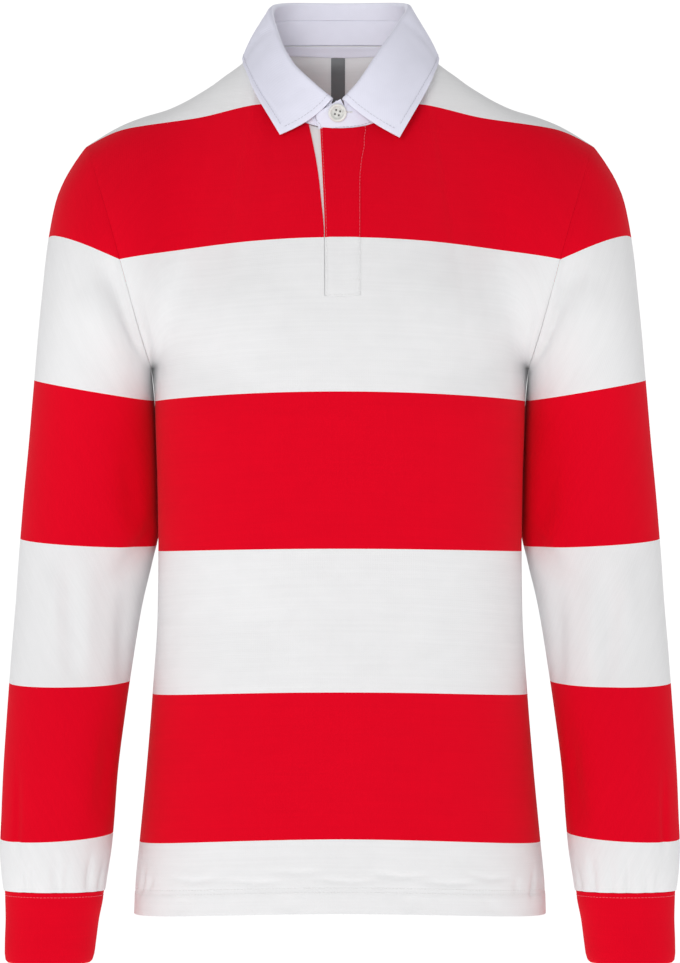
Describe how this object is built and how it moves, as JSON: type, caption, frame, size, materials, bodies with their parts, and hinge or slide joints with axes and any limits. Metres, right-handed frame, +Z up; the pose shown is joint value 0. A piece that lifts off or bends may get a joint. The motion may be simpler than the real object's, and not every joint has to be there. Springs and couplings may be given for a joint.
{
  "type": "long-sleeve polo shirt",
  "caption": "Long-sleeve polo shirt of the rugby kind with broad hoops, a twill collar on a stand, a half placket and banded cuffs, filled out with no wearer.",
  "frame": {"origin": "middle of the neck, level with where the collar meets the shoulders, where the wearer's neck and shoulders hold the shirt up", "axes": "+Z up along the body, the front of the shirt faces -Y, the wearer's left is +X"},
  "size_m": [0.5756, 0.23, 0.8184],
  "materials": {
    "red_and_white_jersey": "matt cotton jersey in broad red and white hoops",
    "red_jersey": "matt smooth cotton jersey",
    "white_jersey": "matt cotton jersey",
    "white_twill": "matt cotton twill",
    "grey_satin": "woven satin",
    "white_resin": "semi-gloss resin"
  },
  "bodies": {
    "root": {"front": "red_and_white_jersey", "back": "red_and_white_jersey", "sleeve_left": "red_and_white_jersey", "sleeve_right": "red_and_white_jersey", "cuff_left": "red_jersey", "cuff_right": "red_jersey", "placket_top": "red_and_white_jersey", "placket_under": "white_jersey", "collar_stand": "white_twill", "collar_leaf": "white_twill", "neck_tape": "white_twill", "neck_label": "grey_satin", "button": "white_resin"}
  },
  "joints": []
}
